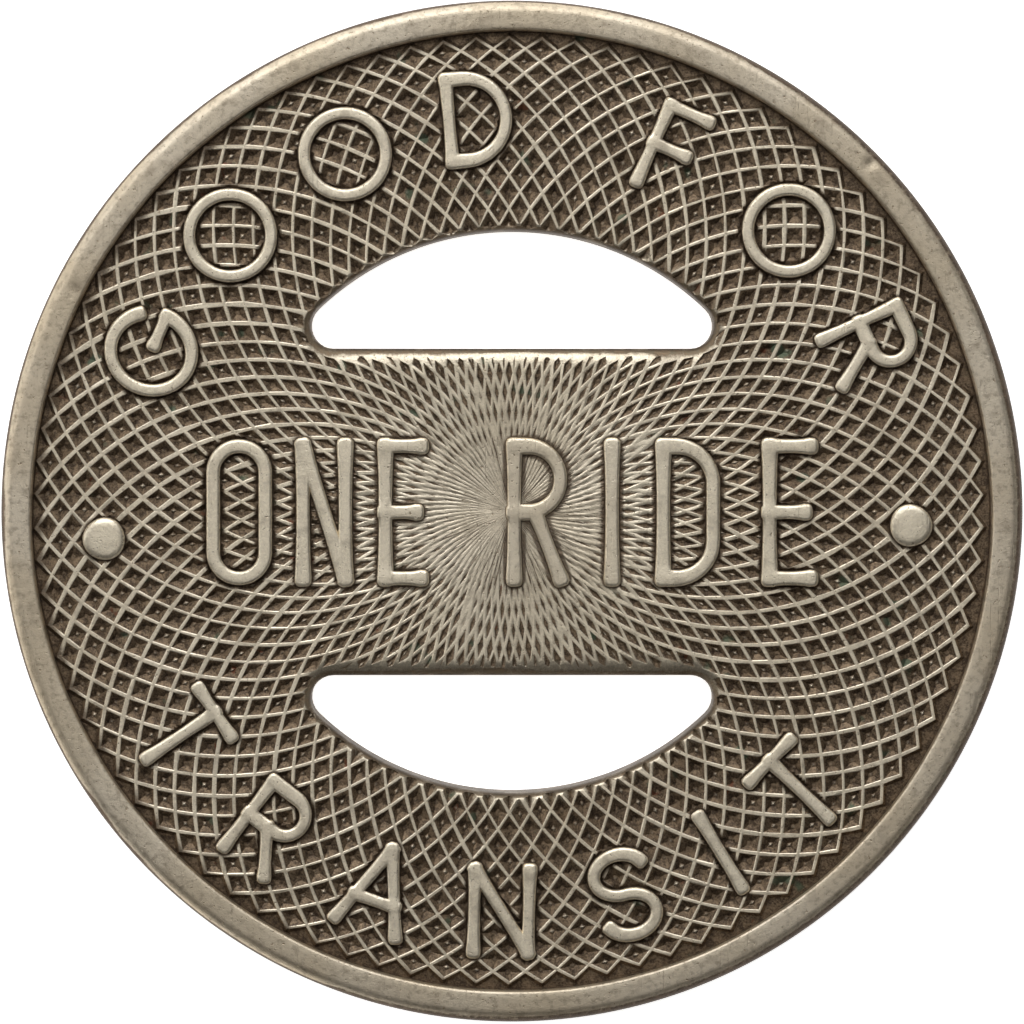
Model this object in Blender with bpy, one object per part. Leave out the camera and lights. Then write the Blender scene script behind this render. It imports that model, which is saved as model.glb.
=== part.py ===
"""Bar-pierced transit token: one struck disc of nickel silver.

The token lies flat on its reverse. +Z is the token's axis, +Y points to the top of the
obverse, and the origin is the centre of the face that the token rests on.
"""

import math

import bpy
from mathutils import Matrix, Vector

MM = 0.001

# Driving dimensions
DIAMETER = 23.0 * MM
THICKNESS = 1.6 * MM
RIM_WIDTH = 0.70 * MM
RIM_WALL_RUN = 0.09 * MM  # how far the rim's inner wall leans in on its way down
EDGE_ROUND = 0.14 * MM  # rounding of the outer edge
FIELD_RECESS = 0.15 * MM  # rim top down to the field
LETTER_RISE = 0.10 * MM  # field up to the letters' flat tops
LETTER_DRAFT = 0.03 * MM  # extra half-width of a stroke at the field
RELIEF_ROOT = 0.06 * MM  # how deep the letters reach into the field

PIERCING_RADIUS = 6.33 * MM  # curved side of each piercing, about the token's centre
PIERCING_CHORD = 3.68 * MM  # straight side, from the token's centre
PIERCING_CORNER = 0.52 * MM

BAR_CAP_HEIGHT = 3.33 * MM  # tall condensed letters across the bar
BAR_STROKE = 0.36 * MM
ARC_CAP_HEIGHT = 2.16 * MM  # letters round the edge
ARC_STROKE = 0.32 * MM
TOP_LEGEND_RADIUS = 8.87 * MM  # centre of the cap height
BOTTOM_LEGEND_RADIUS = 8.98 * MM
PELLET_RADIUS = 0.46 * MM
LEFT_PELLET = (-9.17 * MM, -0.60 * MM)
RIGHT_PELLET = (8.97 * MM, -0.30 * MM)

# Smoothness of round shapes
EDGE_SEGMENTS = 120
ROUND_STEPS = 3
LETTER_ARC_STEP = math.radians(24)
END_CORNER = 0.55  # rounding of a stroke's end, as a share of its half-width
END_CORNER_STEPS = 1
PELLET_SEGMENTS = 20
MERGE_GAP = 0.01 * MM  # points closer than this are one point

TOP_LEGEND = [("G", 156), ("O", 135.5), ("O", 115), ("D", 95), ("F", 66), ("O", 45.5), ("R", 25)]
BOTTOM_LEGEND = [
    ("T", -146),
    ("R", -127.5),
    ("A", -109.5),
    ("N", -91.5),
    ("S", -73.5),
    ("I", -58.5),
    ("T", -44),
]
# Letter, centre along the bar, width
BAR_LEGEND = [
    ("O", -6.13 * MM, 1.53 * MM),
    ("N", -4.22 * MM, 1.31 * MM),
    ("E", -2.45 * MM, 1.15 * MM),
    ("R", 0.57 * MM, 1.40 * MM),
    ("I", 2.25 * MM, BAR_STROKE),
    ("D", 3.96 * MM, 1.48 * MM),
    ("E", 6.24 * MM, 1.26 * MM),
]
ARC_WIDTHS = {
    "A": 1.75 * MM,
    "D": 1.60 * MM,
    "F": 1.25 * MM,
    "G": 2.05 * MM,
    "I": ARC_STROKE,
    "N": 1.55 * MM,
    "O": 2.16 * MM,
    "R": 1.45 * MM,
    "S": 1.50 * MM,
    "T": 1.60 * MM,
}


def clear_scene():
    for obj in list(bpy.data.objects):
        bpy.data.objects.remove(obj, do_unlink=True)


def nickel_silver():
    material = bpy.data.materials.new("nickel_silver")
    material.use_nodes = True
    shader = material.node_tree.nodes["Principled BSDF"]
    shader.inputs["Base Color"].default_value = (0.42, 0.38, 0.30, 1.0)
    shader.inputs["Metallic"].default_value = 1.0
    shader.inputs["Roughness"].default_value = 0.38
    return material


def new_object(name, vertices, faces):
    mesh = bpy.data.meshes.new(name)
    mesh.from_pydata(vertices, [], faces)
    mesh.validate()
    obj = bpy.data.objects.new(name, mesh)
    bpy.context.scene.collection.objects.link(obj)
    return obj


def as_cutter(obj, group):
    """Hides a tool solid and files it in the collection that a Boolean reads."""
    obj.hide_render = True
    obj.display_type = "WIRE"
    bpy.context.scene.collection.objects.unlink(obj)
    group.objects.link(obj)


def tool_group(name):
    group = bpy.data.collections.new(name)
    bpy.context.scene.collection.children.link(group)
    return group


# Blank: a turned disc with a raised rim on both faces


def obverse_profile():
    """Half section from the edge's middle, over the rim and down to the field."""
    radius = DIAMETER / 2
    points = [(radius, THICKNESS / 2)]
    for step in range(ROUND_STEPS + 1):
        turn = math.radians(90 * step / ROUND_STEPS)
        points.append(
            (
                radius - EDGE_ROUND * (1 - math.cos(turn)),
                THICKNESS - EDGE_ROUND * (1 - math.sin(turn)),
            )
        )
    inner = radius - RIM_WIDTH
    points.append((inner, THICKNESS))
    points.append((inner - RIM_WALL_RUN, THICKNESS - FIELD_RECESS))
    return points


def blank():
    upper = obverse_profile()
    lower = [(radius, THICKNESS - height) for radius, height in upper[1:]]
    section = list(reversed(lower)) + upper
    vertices = []
    for radius, height in section:
        for step in range(EDGE_SEGMENTS):
            turn = 2 * math.pi * step / EDGE_SEGMENTS
            vertices.append((radius * math.cos(turn), radius * math.sin(turn), height))
    faces = []
    for ring in range(len(section) - 1):
        for step in range(EDGE_SEGMENTS):
            ahead = (step + 1) % EDGE_SEGMENTS
            low, high = ring * EDGE_SEGMENTS, (ring + 1) * EDGE_SEGMENTS
            faces.append((low + step, low + ahead, high + ahead, high + step))
    last = (len(section) - 1) * EDGE_SEGMENTS
    faces.append(tuple(reversed(range(EDGE_SEGMENTS))))
    faces.append(tuple(last + step for step in range(EDGE_SEGMENTS)))
    return new_object("struck_token", vertices, faces)


# Piercings: a circle's segment with rounded corners, above and below the bar


def arc_points(centre, radius, start, end, step=LETTER_ARC_STEP):
    """Points on an arc; radius may be one number or an ellipse's two half-axes."""
    across, up = radius if isinstance(radius, tuple) else (radius, radius)
    count = max(2, math.ceil(abs(end - start) / step))
    turns = [start + (end - start) * index / count for index in range(count + 1)]
    return [
        Vector((centre[0] + across * math.cos(turn), centre[1] + up * math.sin(turn)))
        for turn in turns
    ]


def join(*parts):
    """One path from several, without a point that repeats the one before it."""
    path = []
    for point in (point for part in parts for point in part):
        if not path or (point - path[-1]).length > MERGE_GAP:
            path.append(point)
    return path


def piercing_outline():
    corner_y = PIERCING_CHORD + PIERCING_CORNER
    corner_reach = PIERCING_RADIUS - PIERCING_CORNER
    corner_x = math.sqrt(corner_reach**2 - corner_y**2)
    lean = math.atan2(corner_y, corner_x)
    right = arc_points((corner_x, corner_y), PIERCING_CORNER, -math.pi / 2, lean)
    curve = arc_points((0, 0), PIERCING_RADIUS, lean, math.pi - lean, math.radians(4))
    left = arc_points((-corner_x, corner_y), PIERCING_CORNER, math.pi - lean, 1.5 * math.pi)
    return right + curve[1:-1] + left


def prism(name, outline, bottom, top):
    count = len(outline)
    vertices = [(p.x, p.y, bottom) for p in outline] + [(p.x, p.y, top) for p in outline]
    faces = [tuple(reversed(range(count))), tuple(range(count, 2 * count))]
    for index in range(count):
        ahead = (index + 1) % count
        faces.append((index, ahead, count + ahead, count + index))
    return new_object(name, vertices, faces)


def add_piercings(group):
    upper = piercing_outline()
    lower = [-point for point in upper]
    for name, outline in (("upper_piercing", upper), ("lower_piercing", lower)):
        as_cutter(prism(name, outline, -THICKNESS, 2 * THICKNESS), group)


# Letters: strokes along centre lines, in a box of the letter's width and cap height


def letter_paths(letter, width, height, stroke):
    """Centre lines of a letter's strokes, as (points, closed), about the letter's middle."""
    x = (width - stroke) / 2
    y = (height - stroke) / 2
    quarter = math.pi / 2
    left = [(-x, -y), (-x, y)]

    def bowl(bottom, corner):
        """Out of the stem's top, round to the right and back to the stem at bottom."""
        upper = arc_points((x - corner, y - corner), corner, quarter, 0)
        lower = arc_points((x - corner, bottom + corner), corner, 0, -quarter)
        return join([Vector((-x, y))], upper, lower, [Vector((-x, bottom))])

    def s_curve():
        reach = y / 2
        side = (x, reach)
        upper = arc_points((0, reach), side, math.radians(25), 1.5 * math.pi)
        lower = arc_points((0, -reach), side, quarter, -math.radians(155))
        return join(upper, lower)

    def tall_loop():
        """A circle, or two half circles with straight sides where the O is condensed."""
        upper = arc_points((0, y - x), x, 0, math.pi)
        lower = arc_points((0, x - y), x, math.pi, 2 * math.pi)
        loop = join(upper, lower)
        return loop if (loop[0] - loop[-1]).length > stroke / 4 else loop[:-1]

    g_curve = arc_points((0, 0), (x, y), math.radians(40), 2 * math.pi)
    strokes = {
        "A": [[(-x, -y), (0, y)], [(x, -y), (0, y)], [(-x * 0.66, -y * 0.32), (x * 0.66, -y * 0.32)]],
        "D": [left, bowl(-y, min(1.5 * x, y))],
        "E": [left, [(-x, y), (x, y)], [(-x, 0), (x * 0.72, 0)], [(-x, -y), (x, -y)]],
        "F": [left, [(-x, y), (x, y)], [(-x, 0), (x * 0.66, 0)]],
        "G": [g_curve, [(x, 0), (x * 0.2, 0)]],
        "I": [[(0, -y), (0, y)]],
        "N": [left, [(-x, y), (x, -y)], [(x, -y), (x, y)]],
        "R": [left, bowl(0, min(1.5 * x, y / 2)), [(-x * 0.1, 0), (x, -y)]],
        "S": [s_curve()],
        "T": [[(0, -y), (0, y)], [(-x, y), (x, y)]],
    }
    if letter == "O":
        return [(tall_loop(), True)]
    return [([Vector(point) for point in path], False) for path in strokes[letter]]


def side_directions(path, closed):
    """Unit normals to the left of the path, stretched at bends so that the width holds."""
    count = len(path)
    normals = []
    for index in range(count):
        before = path[index - 1] if index or closed else None
        after = path[(index + 1) % count] if index < count - 1 or closed else None
        turn_in = (path[index] - before).normalized() if before is not None else None
        turn_out = (after - path[index]).normalized() if after is not None else None
        turn_in = turn_in or turn_out
        turn_out = turn_out or turn_in
        along = (turn_in + turn_out).normalized()
        normal = Vector((-along.y, along.x))
        normals.append(normal / max(0.5, along.dot(turn_in)))
    return normals


def stroke_end(centre, forward, half_width):
    """Points round a stroke's end, from its left corner to its right corner."""
    left = Vector((-forward.y, forward.x))
    corner = END_CORNER * half_width
    flat = half_width - corner
    points = []
    for side, start in ((1, 0), (-1, math.pi / 2)):
        for step in range(END_CORNER_STEPS + 1):
            turn = start + math.pi / 2 * step / END_CORNER_STEPS
            across = side * flat + corner * math.cos(turn)
            along = flat + corner * math.sin(turn)
            points.append(centre + left * across + forward * along)
    return points


def stroke_outlines(path, closed, half_width):
    """The outline of a stroke, or the outer and inner outlines of a closed one."""
    normals = side_directions(path, closed)
    left = [point + normal * half_width for point, normal in zip(path, normals)]
    right = [point - normal * half_width for point, normal in zip(path, normals)]
    if closed:
        return [right, list(reversed(left))]
    ahead = (path[-1] - path[-2]).normalized()
    back = (path[0] - path[1]).normalized()
    end = stroke_end(path[-1], ahead, half_width)
    start = stroke_end(path[0], back, half_width)
    return [list(reversed(left + end + list(reversed(right)) + start))]


def ring_prism(name, foot_outlines, top_outlines, bottom, top):
    """A solid between an outer and an inner outline, with drafted walls."""
    loops = []
    for outlines, height in ((foot_outlines, bottom), (top_outlines, top)):
        outer, inner = outlines[0], list(reversed(outlines[1]))
        loops.append([(p.x, p.y, height) for p in outer])
        loops.append([(p.x, p.y, height) for p in inner])
    foot_outer, foot_inner, top_outer, top_inner = (index * len(loops[0]) for index in range(4))
    faces = []
    count = len(loops[0])
    for index in range(count):
        ahead = (index + 1) % count
        for low, high in (
            (foot_outer, top_outer),
            (top_outer, top_inner),
            (top_inner, foot_inner),
            (foot_inner, foot_outer),
        ):
            faces.append((low + index, low + ahead, high + ahead, high + index))
    return new_object(name, [point for loop in loops for point in loop], faces)


def drafted_prism(name, foot, head, bottom, top):
    solid = prism(name, foot, bottom, top)
    for index, point in enumerate(head):
        solid.data.vertices[len(foot) + index].co = (point.x, point.y, top)
    return solid


def stroke_solid(name, path, closed, stroke):
    bottom = THICKNESS - FIELD_RECESS - RELIEF_ROOT
    top = THICKNESS - FIELD_RECESS + LETTER_RISE
    foot = stroke_outlines(path, closed, stroke / 2 + LETTER_DRAFT)
    head = stroke_outlines(path, closed, stroke / 2)
    if closed:
        return ring_prism(name, foot, head, bottom, top)
    return drafted_prism(name, foot[0], head[0], bottom, top)


def letter_solids(name, letter, width, height, stroke, place):
    solids = []
    for index, (path, closed) in enumerate(letter_paths(letter, width, height, stroke)):
        placed = [(place @ point.to_3d()).to_2d() for point in path]
        solids.append(stroke_solid(f"{name}_{letter}_stroke_{index + 1}", placed, closed, stroke))
    return solids


def arc_place(degrees, radius, tops_outward):
    """Where a letter stands on an arc round the token's centre."""
    turn = math.radians(degrees)
    spin = turn - math.pi / 2 if tops_outward else turn + math.pi / 2
    centre = Vector((radius * math.cos(turn), radius * math.sin(turn), 0))
    return Matrix.Translation(centre) @ Matrix.Rotation(spin, 4, "Z")


def arc_legend_solids(name, legend, radius, tops_outward):
    solids = []
    for index, (letter, degrees) in enumerate(legend):
        place = arc_place(degrees, radius, tops_outward)
        width = ARC_WIDTHS[letter]
        label = f"{name}_{index + 1}"
        solids += letter_solids(label, letter, width, ARC_CAP_HEIGHT, ARC_STROKE, place)
    return solids


def bar_legend_solids():
    solids = []
    for index, (letter, centre, width) in enumerate(BAR_LEGEND):
        place = Matrix.Translation((centre, 0, 0))
        label = f"bar_legend_{index + 1}"
        solids += letter_solids(label, letter, width, BAR_CAP_HEIGHT, BAR_STROKE, place)
    return solids


def pellet_solids():
    bottom = THICKNESS - FIELD_RECESS - RELIEF_ROOT
    top = THICKNESS - FIELD_RECESS + LETTER_RISE
    step = 2 * math.pi / PELLET_SEGMENTS
    solids = []
    for name, centre in (("left_pellet", LEFT_PELLET), ("right_pellet", RIGHT_PELLET)):
        foot = arc_points(centre, PELLET_RADIUS + LETTER_DRAFT, 0, 2 * math.pi, step)[:-1]
        head = arc_points(centre, PELLET_RADIUS, 0, 2 * math.pi, step)[:-1]
        solids.append(drafted_prism(name, foot, head, bottom, top))
    return solids


def add_relief(group):
    """Raises the legends and pellets on the obverse, and the same on the reverse."""
    solids = arc_legend_solids("top_legend", TOP_LEGEND, TOP_LEGEND_RADIUS, True)
    solids += arc_legend_solids("bottom_legend", BOTTOM_LEGEND, BOTTOM_LEGEND_RADIUS, False)
    solids += bar_legend_solids()
    solids += pellet_solids()
    turn_over = Matrix.Translation((0, 0, THICKNESS)) @ Matrix.Rotation(math.pi, 4, "X")
    for solid in solids:
        reverse = bpy.data.objects.new(f"reverse_{solid.name}", solid.data)
        reverse.matrix_world = turn_over
        bpy.context.scene.collection.objects.link(reverse)
        as_cutter(reverse, group)
        as_cutter(solid, group)


def combine(obj, name, operation, group):
    boolean = obj.modifiers.new(name, "BOOLEAN")
    boolean.operation = operation
    boolean.operand_type = "COLLECTION"
    boolean.collection = group
    boolean.solver = "EXACT"


def build():
    clear_scene()
    token = blank()
    piercings = tool_group("piercing_tools")
    relief = tool_group("relief_tools")
    add_piercings(piercings)
    add_relief(relief)
    combine(token, "pierce", "DIFFERENCE", piercings)
    combine(token, "strike", "UNION", relief)
    token.data.materials.append(nickel_silver())
    token.data.shade_smooth()
    token.data.set_sharp_from_angle(angle=math.radians(30))


build()
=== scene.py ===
"""The looks of the bar-pierced transit token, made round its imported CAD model.

Lengths are in metres. +Z is the token's axis and +Y points to the top of the obverse.
"""

import math

import bmesh
import bpy
import numpy as np
from mathutils import Matrix, Vector


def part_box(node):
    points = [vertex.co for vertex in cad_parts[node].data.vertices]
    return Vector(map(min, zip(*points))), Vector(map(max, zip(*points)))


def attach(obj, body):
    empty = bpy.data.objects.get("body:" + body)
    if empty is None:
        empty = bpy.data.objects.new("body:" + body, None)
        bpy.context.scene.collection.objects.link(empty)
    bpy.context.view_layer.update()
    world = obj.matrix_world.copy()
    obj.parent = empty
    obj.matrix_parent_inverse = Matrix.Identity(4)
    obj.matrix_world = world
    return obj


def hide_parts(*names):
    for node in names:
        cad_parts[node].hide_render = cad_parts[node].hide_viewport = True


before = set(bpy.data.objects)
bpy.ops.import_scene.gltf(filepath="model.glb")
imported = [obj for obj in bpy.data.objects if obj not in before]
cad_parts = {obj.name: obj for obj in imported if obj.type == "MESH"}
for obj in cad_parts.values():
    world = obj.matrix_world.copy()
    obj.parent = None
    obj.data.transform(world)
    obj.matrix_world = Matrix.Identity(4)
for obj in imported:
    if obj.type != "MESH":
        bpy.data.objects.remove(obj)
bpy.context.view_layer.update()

MM = 0.001

# Driving dimensions, the same as the CAD model's
TOKEN_LOW, TOKEN_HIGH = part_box("struck_token")
RADIUS = (TOKEN_HIGH[0] - TOKEN_LOW[0]) / 2
TOP = TOKEN_HIGH[2]
MIDDLE = TOP / 2
FIELD = TOP - 0.15 * MM  # height of the engine-turned lines' tops

PIERCING_RADIUS = 6.33 * MM
PIERCING_CHORD = 3.68 * MM
PIERCING_CORNER = 0.52 * MM

BAR_CAP_HEIGHT = 3.33 * MM
BAR_STROKE = 0.36 * MM
ARC_CAP_HEIGHT = 2.16 * MM
ARC_STROKE = 0.32 * MM
TOP_LEGEND_RADIUS = 8.87 * MM
BOTTOM_LEGEND_RADIUS = 8.98 * MM
PELLET_RADIUS = 0.46 * MM
PELLETS = [(-9.17 * MM, -0.60 * MM), (8.97 * MM, -0.30 * MM)]

# Letters and the angles at which they stand, in degrees
TOP_LEGEND = [("G", 156), ("O", 135.5), ("O", 115), ("D", 95), ("F", 66), ("O", 45.5), ("R", 25)]
BOTTOM_LEGEND = [
    ("T", -146), ("R", -127.5), ("A", -109.5), ("N", -91.5),
    ("S", -73.5), ("I", -58.5), ("T", -44),
]
# Where each letter of the bar stands and how wide it is, in millimetres
BAR_LEGEND = [
    ("O", -6.13, 1.53), ("N", -4.22, 1.31), ("E", -2.45, 1.15), ("R", 0.57, 1.40),
    ("I", 2.25, 0.36), ("D", 3.96, 1.48), ("E", 6.24, 1.26),
]
ARC_WIDTHS = {
    "A": 1.75, "D": 1.60, "F": 1.25, "G": 2.05, "I": 0.32,
    "N": 1.55, "O": 2.16, "R": 1.45, "S": 1.50, "T": 1.60,
}

# Engine turning: equal circles that all pass through one centre, so that two families of
# curved lines cross. Lattice coordinates p and q count the lines of each family, and p - q
# counts the rings of crossings inwards.
TURNS = 90
CIRCLE = 12.83 * MM  # diameter of each circle
LATTICE_CENTRE = np.array([-0.065 * MM, 0.025 * MM])
OUTER_RING = 18  # the first and last ring of pits
INNER_RING = 43
SHALLOW_RING = 38  # from here inwards many pits are partly filled
PIT_DEPTH = 0.100 * MM
FULL_DEPTH_PITCH = 0.40 * MM  # narrower pits are shallower
DEPTH_POWER = 1.55

# The lines' flat tops: half their width where the pitch is wide, and how it changes
P_LINE_HALF = 0.030 * MM
Q_LINE_HALF = 0.022 * MM
WIDE_PITCH = 0.45 * MM
CROWDING_POWER = 0.45  # of the pitch, by which the lines narrow
SIDE_WEAR = 0.17  # how much wider the lines are worn at the token's left and right
LINE_HALF_MOST = 0.32  # of the pitch, where the lines crowd together
LINE_SPREAD = 0.14  # how much the widths vary from line to line
CROSSING_SPREAD = 0.20  # and from crossing to crossing
UNEVEN_HALF_MOST = 0.38  # of the pitch, however uneven the line is

# The pits: upside-down pyramids. The shares are of the mouth's half-width.
WAIST_SHARE = 0.62  # the half-width halfway down
FLOOR_SHARE = 0.30  # and at the floor
OFF_CENTRE_MOST = 0.075  # of the pitch, from a pit's middle to its floor's
DOT_SHARE = 0.28  # a dot in the middle of the floor, with a painted highlight
DOT_RISE = 0.28  # as a share of the pit's depth
DOT_GLINT = 0.52  # how bright the painted highlight on a dot of size 1 is
DOT_SIZE_MOST = 1.3
DOT_SIZE_POWER = 1.2  # above 1, small dots are more common than big ones
DOT_PITCH = 0.22 * MM  # pits narrower than this have no dot
RAY_RING = 39  # from here inwards the second family sinks, so that pits join up as rays
RAY_SINK = 0.6
RAY_STEPS = 3

# Near the letters, pellets and rim. Distances are from the side of a letter or pellet.
FINE_REACH = 0.26 * MM  # lines as near as this, or this far under it, are cut finely
FINE_REACH_INSIDE = 0.2 * MM
FINE_STEPS = 6
LETTER_GUTTER = (-0.02 * MM, 0.03 * MM)  # where the lines rise to their full height
LETTER_GRIME_AND_SHADE = (0.015 * MM, 0.125 * MM)  # where the dirt and painted shade thin out
RIM_GRIME_AND_SHADE = (10.50 * MM, 10.72 * MM)  # distances from the axis over which dirt and painted shade gather
GUTTER_RADIUS = 10.90 * MM  # where the field ends, under the rim
GUTTER_SLOPE = 0.10 * MM  # how far out the outermost lines slope down into the gutter

# A flattened patch above the bar's letters
BATTERED_CENTRE = (2.95 * MM, 1.62 * MM)
BATTERED_SIZE = (0.36 * MM, 0.26 * MM)

# Piercings: how finely their outline is cut, and how wide and deep their rolled lips are
CORNER_STEPS = 9.5  # rounded up
CURVE_STEPS = 59.5
CHORD_STEPS = 40
LIP_STEPS = 8
CHORD_LIP = 0.42 * MM
CURVE_LIP = 0.15 * MM
LIP_DEPTH = 0.24 * MM

SEED = 7


def add_object(name, data):
    obj = bpy.data.objects.new(name, data)
    bpy.context.scene.collection.objects.link(obj)
    return obj


def new_object(name, vertices, faces):
    mesh = bpy.data.meshes.new(name)
    mesh.from_pydata([tuple(v) for v in vertices], [], faces)
    mesh.update()
    return add_object(name, mesh)


def with_bmesh(obj, edit):
    """Runs edit on the object's mesh and writes the result back."""
    shape = bmesh.new()
    shape.from_mesh(obj.data)
    edit(shape)
    shape.to_mesh(obj.data)
    shape.free()
    obj.data.update()


def face_outwards(shape):
    bmesh.ops.recalc_face_normals(shape, faces=shape.faces)


def new_solid(name, vertices, faces):
    solid = new_object(name, vertices, faces)
    with_bmesh(solid, face_outwards)
    return solid


def ring_points(segments, height, radius_at, centre=(0, 0)):
    """Points round a centre; radius_at gives the radius for an angle."""
    turns = [2 * math.pi * index / segments for index in range(segments)]
    places = [(radius_at(turn), turn) for turn in turns]
    x, y = centre
    return [(x + out * math.cos(turn), y + out * math.sin(turn), height) for out, turn in places]


def wall_faces(loops, levels, size, wraps=False):
    """Quads between each loop of vertices and the same loop on the next level.

    A level has size vertices. wraps joins the last level to the first.
    """
    faces = []
    for level in range(levels if wraps else levels - 1):
        low, high = level * size, (level + 1) % levels * size
        for loop in loops:
            for index, vertex in enumerate(loop):
                ahead = loop[(index + 1) % len(loop)]
                faces.append((low + vertex, low + ahead, high + ahead, high + vertex))
    return faces


def smoothstep(low, high, value):
    share = np.clip((value - low) / (high - low), 0, 1)
    return share * share * (3 - 2 * share)


# Letters: strokes along centre lines, in a box of the letter's width and cap height


def arc_points(centre, radius, start, end, step):
    """Points on an arc; radius may be one number or an ellipse's two half-axes."""
    across, up = radius if isinstance(radius, tuple) else (radius, radius)
    count = max(2, math.ceil(abs(end - start) / step))
    turns = [start + (end - start) * index / count for index in range(count + 1)]
    return [
        Vector((centre[0] + across * math.cos(turn), centre[1] + up * math.sin(turn)))
        for turn in turns
    ]


def join(*parts):
    """One path from several, without a point that repeats the one before it."""
    path = []
    for point in (point for part in parts for point in part):
        if not path or (point - path[-1]).length > 0.01 * MM:
            path.append(point)
    return path


def line(start, end, count=8):
    start, end = Vector(start), Vector(end)
    return [start.lerp(end, index / count) for index in range(count + 1)]


LETTER_ARC_STEP = math.radians(7)


def letter_paths(letter, width, height, stroke):
    """Centre lines of a letter's strokes, as (points, closed), about the letter's middle."""
    x = (width - stroke) / 2
    y = (height - stroke) / 2
    quarter = math.pi / 2
    step = LETTER_ARC_STEP

    def bowl(bottom, corner):
        """Out of the stem's top, round to the right and back to the stem at bottom."""
        upper = arc_points((x - corner, y - corner), corner, quarter, 0, step)
        lower = arc_points((x - corner, bottom + corner), corner, 0, -quarter, step)
        return join([Vector((-x, y))], upper, lower, [Vector((-x, bottom))])

    def s_curve():
        reach = y / 2
        side = (x, reach)
        upper = arc_points((0, reach), side, math.radians(25), 1.5 * math.pi, step)
        lower = arc_points((0, -reach), side, quarter, -math.radians(155), step)
        return join(upper, lower)

    def tall_loop():
        """A circle, or two half circles with straight sides where the O is condensed."""
        upper = arc_points((0, y - x), x, 0, math.pi, step)
        lower = arc_points((0, x - y), x, math.pi, 2 * math.pi, step)
        loop = join(upper, lower)
        return loop if (loop[0] - loop[-1]).length > stroke / 4 else loop[:-1]

    left = line((-x, -y), (-x, y))
    top = line((-x, y), (x, y))
    g_curve = arc_points((0, 0), (x, y), math.radians(40), 2 * math.pi, step)
    bar_y = -y * 0.32
    strokes = {
        "A": [
            line((-x, -y), (0, y)),
            line((x, -y), (0, y)),
            line((-x * 0.66, bar_y), (x * 0.66, bar_y)),
        ],
        "D": [left, bowl(-y, min(1.5 * x, y))],
        "E": [left, top, line((-x, 0), (x * 0.72, 0)), line((-x, -y), (x, -y))],
        "F": [left, top, line((-x, 0), (x * 0.66, 0))],
        "G": [g_curve, line((x, 0), (x * 0.2, 0))],
        "I": [line((0, -y), (0, y))],
        "N": [left, line((-x, y), (x, -y)), line((x, -y), (x, y))],
        "R": [left, bowl(0, min(1.5 * x, y / 2)), line((-x * 0.1, 0), (x, -y))],
        "S": [s_curve()],
        "T": [line((0, -y), (0, y)), top],
    }
    if letter == "O":
        return [(tall_loop(), True)]
    return [(path, False) for path in strokes[letter]]


def arc_place(degrees, radius, tops_outward):
    """Where a letter stands on an arc round the token's centre."""
    turn = math.radians(degrees)
    spin = turn - math.pi / 2 if tops_outward else turn + math.pi / 2
    centre = Vector((radius * math.cos(turn), radius * math.sin(turn), 0))
    return Matrix.Translation(centre) @ Matrix.Rotation(spin, 4, "Z")


def placed_paths(letter, width, height, stroke, place):
    return [
        ([(place @ point.to_3d()).to_2d() for point in path], closed)
        for path, closed in letter_paths(letter, width, height, stroke)
    ]


def arc_legend(legend, radius, tops_outward):
    """One list of placed strokes for each letter round an arc."""
    placed = []
    for letter, degrees in legend:
        place = arc_place(degrees, radius, tops_outward)
        width = ARC_WIDTHS[letter] * MM
        placed.append(placed_paths(letter, width, ARC_CAP_HEIGHT, ARC_STROKE, place))
    return placed


def bar_legend():
    placed = []
    for letter, middle, width in BAR_LEGEND:
        place = Matrix.Translation((middle * MM, 0, 0))
        placed.append(placed_paths(letter, width * MM, BAR_CAP_HEIGHT, BAR_STROKE, place))
    return placed


LEGENDS = {
    "top_legend": (arc_legend(TOP_LEGEND, TOP_LEGEND_RADIUS, True), ARC_STROKE),
    "bar_legend": (bar_legend(), BAR_STROKE),
    "bottom_legend": (arc_legend(BOTTOM_LEGEND, BOTTOM_LEGEND_RADIUS, False), ARC_STROKE),
}


def distance_to_path(points, path, closed):
    """How far each point is from a path, and which points were near enough to measure."""
    ends = path + path[:1] if closed else path
    start = np.array([tuple(p) for p in ends[:-1]])
    along = np.array([tuple(p) for p in ends[1:]]) - start
    middle = start.mean(0)
    reach = np.abs(start - middle).max() + 1.0 * MM
    close = np.where(np.abs(points - middle).max(1) < reach)[0]
    offset = points[close, None, :] - start[None]
    share = np.clip((offset * along[None]).sum(2) / (along**2).sum(1)[None], 0, 1)
    gap = offset - share[..., None] * along[None]
    return np.sqrt((gap**2).sum(2)).min(1), close


def distance_to_relief(points):
    """How far each point is from the nearest letter's or pellet's side; inside is negative."""
    nearest = np.full(len(points), 1.0 * MM)
    for letters, stroke in LEGENDS.values():
        for path, closed in (stroke_path for letter in letters for stroke_path in letter):
            side, close = distance_to_path(points, path, closed)
            nearest[close] = np.minimum(nearest[close], side - stroke / 2)
    for centre in PELLETS:
        side = np.hypot(points[:, 0] - centre[0], points[:, 1] - centre[1]) - PELLET_RADIUS
        nearest = np.minimum(nearest, side)
    return nearest


def distance_to_piercings(points):
    """How far each point is from the nearer piercing's edge."""
    upright = np.column_stack([points[:, 0], np.abs(points[:, 1])])
    side, close = distance_to_path(upright, piercing_outline(0, 0), True)
    nearest = np.full(len(points), 1.0 * MM)
    nearest[close] = side
    return nearest


# Field: the engine-turned lattice


def lattice_xy(p, q):
    spread = math.pi / TURNS * (p - q)
    turn = math.pi / TURNS * (p + q)
    reach = CIRCLE * np.cos(spread)
    return np.stack([reach * np.cos(turn), reach * np.sin(turn)], -1) + LATTICE_CENTRE


def pitch_at(ring):
    """Distance between neighbouring lines of one family on a ring of crossings."""
    spread = np.pi / TURNS * np.asarray(ring, float)
    return 2 * math.pi / TURNS * CIRCLE * np.cos(spread) * np.sin(spread)


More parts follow.
